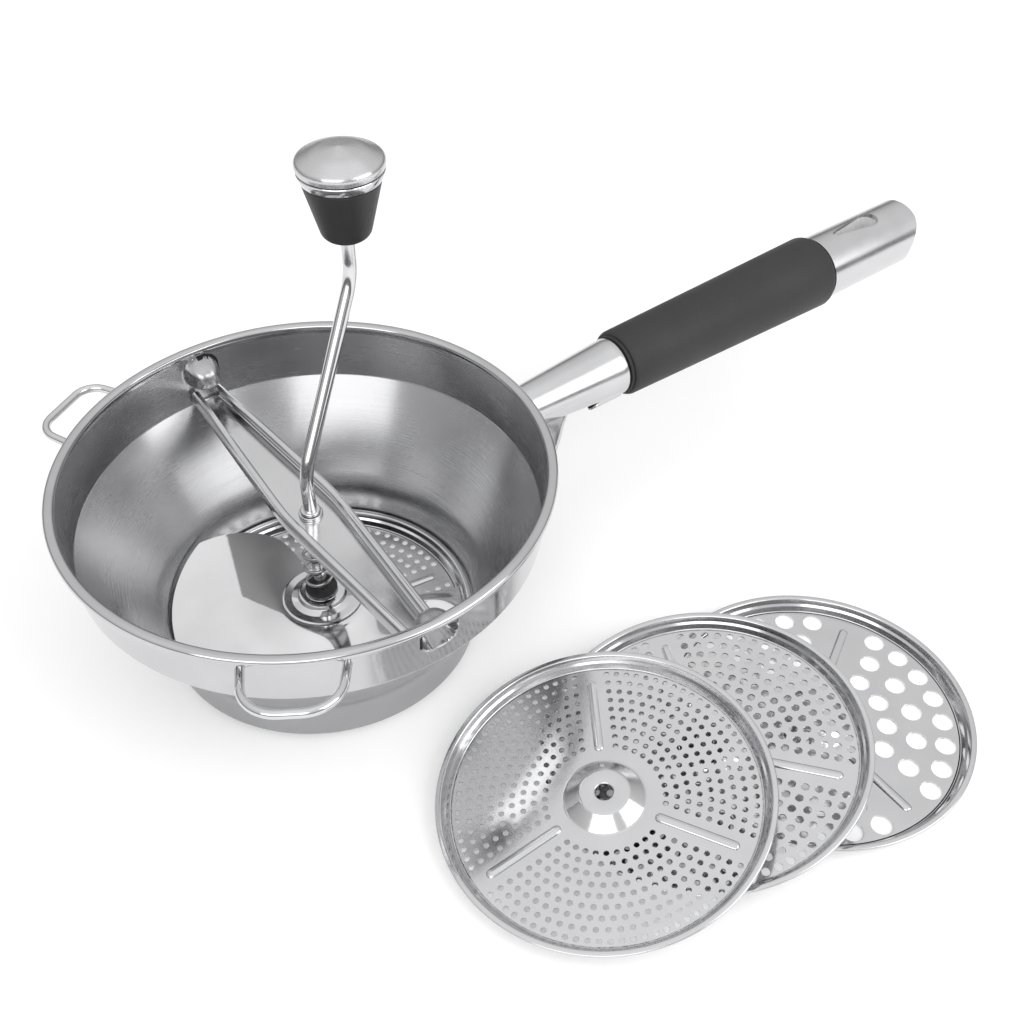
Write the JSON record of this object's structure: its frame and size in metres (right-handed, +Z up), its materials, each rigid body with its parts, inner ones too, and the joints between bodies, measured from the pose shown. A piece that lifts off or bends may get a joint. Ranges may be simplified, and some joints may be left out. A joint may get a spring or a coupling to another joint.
{
  "type": "rotary food mill",
  "caption": "Rotary food mill: steel bowl with long gripped handle and rest hooks, sprung crank and blade under a crossbar, and interchangeable perforated discs.",
  "frame": {"origin": "on the bowl's axis, in the plane of the base ring's lower face", "axes": "+Z up along the bowl's axis, +X along the handle away from the bowl, crossbar along Y"},
  "size_m": [0.445, 0.3369, 0.2025],
  "materials": {
    "bowl_steel": "spun stainless steel, polished outside and satin inside",
    "wire_steel": "polished stainless wire",
    "brushed_steel": "brushed stainless sheet",
    "inner_steel": "plain steel, out of sight",
    "inner_plastic": "moulded plastic, out of sight",
    "grip_rubber": "matt black soft-touch rubber",
    "bright_steel": "polished stainless steel",
    "spring_steel": "bright spring wire",
    "black_plastic": "black plastic",
    "blade_steel": "mirror-polished pressed steel",
    "knob_plastic": "matt black plastic",
    "knob_steel": "spun brushed steel",
    "disc_steel": "polished pressed steel sheet"
  },
  "bodies": {
    "mill": {"bowl": "bowl_steel", "hook_left": "wire_steel", "hook_front": "wire_steel", "handle_neck": "brushed_steel", "handle_bracket": "brushed_steel", "handle_seam_tube": "brushed_steel", "handle_grip": "grip_rubber", "handle_core": "inner_steel", "neck_plug": "inner_plastic", "cap_plug": "inner_plastic", "handle_end_cap": "brushed_steel", "disc_fitted": "disc_steel"},
    "bar": {"crossbar": "bright_steel", "crossbar_bush": "bright_steel", "spring_top_washer": "bright_steel", "spring": "spring_steel"},
    "seat": {"spring_seat": "black_plastic"},
    "crank": {"crank_rod": "wire_steel", "crank_collar": "bright_steel", "blade_hub": "bright_steel", "hub_nut": "inner_steel", "blade": "blade_steel", "knob_retainer": "inner_steel", "knob_collar": "bright_steel"},
    "knob": {"knob_body": "knob_plastic", "knob_band": "bright_steel", "knob_cap": "knob_steel"},
    "spare_coarse": {"disc_coarse": "disc_steel"},
    "spare_medium": {"disc_medium": "disc_steel"},
    "spare_fine": {"disc_fine": "disc_steel"}
  },
  "joints": [
    {"name": "crossbar_turn", "type": "hinge", "parent": "mill", "child": "bar", "pos_m": [0, 0, 0.058], "axis": [0, 0, 1], "range_deg": [0, 35]},
    {"name": "crank_float", "type": "slide", "parent": "bar", "child": "seat", "axis": [0, 0, 1], "range_m": [0, 0.004], "stiffness_N_per_m": 1500, "springref_m": -0.006, "deforming": ["spring"]},
    {"name": "crank_spin", "type": "hinge", "parent": "seat", "child": "crank", "pos_m": [0, 0, 0], "axis": [0, 0, 1], "continuous": true},
    {"name": "knob_spin", "type": "hinge", "parent": "crank", "child": "knob", "pos_m": [0.04157, 0.024, 0.162], "axis": [0, 0, 1], "continuous": true},
    {"name": "lift_coarse", "type": "slide", "parent": "mill", "child": "spare_coarse", "axis": [0, 0, 1], "range_m": [0, 0.03]},
    {"name": "lift_medium", "type": "slide", "parent": "spare_coarse", "child": "spare_medium", "axis": [0, 0, 1], "range_m": [0, 0.03]},
    {"name": "lift_fine", "type": "slide", "parent": "spare_medium", "child": "spare_fine", "axis": [0, 0, 1], "range_m": [0, 0.03]}
  ]
}
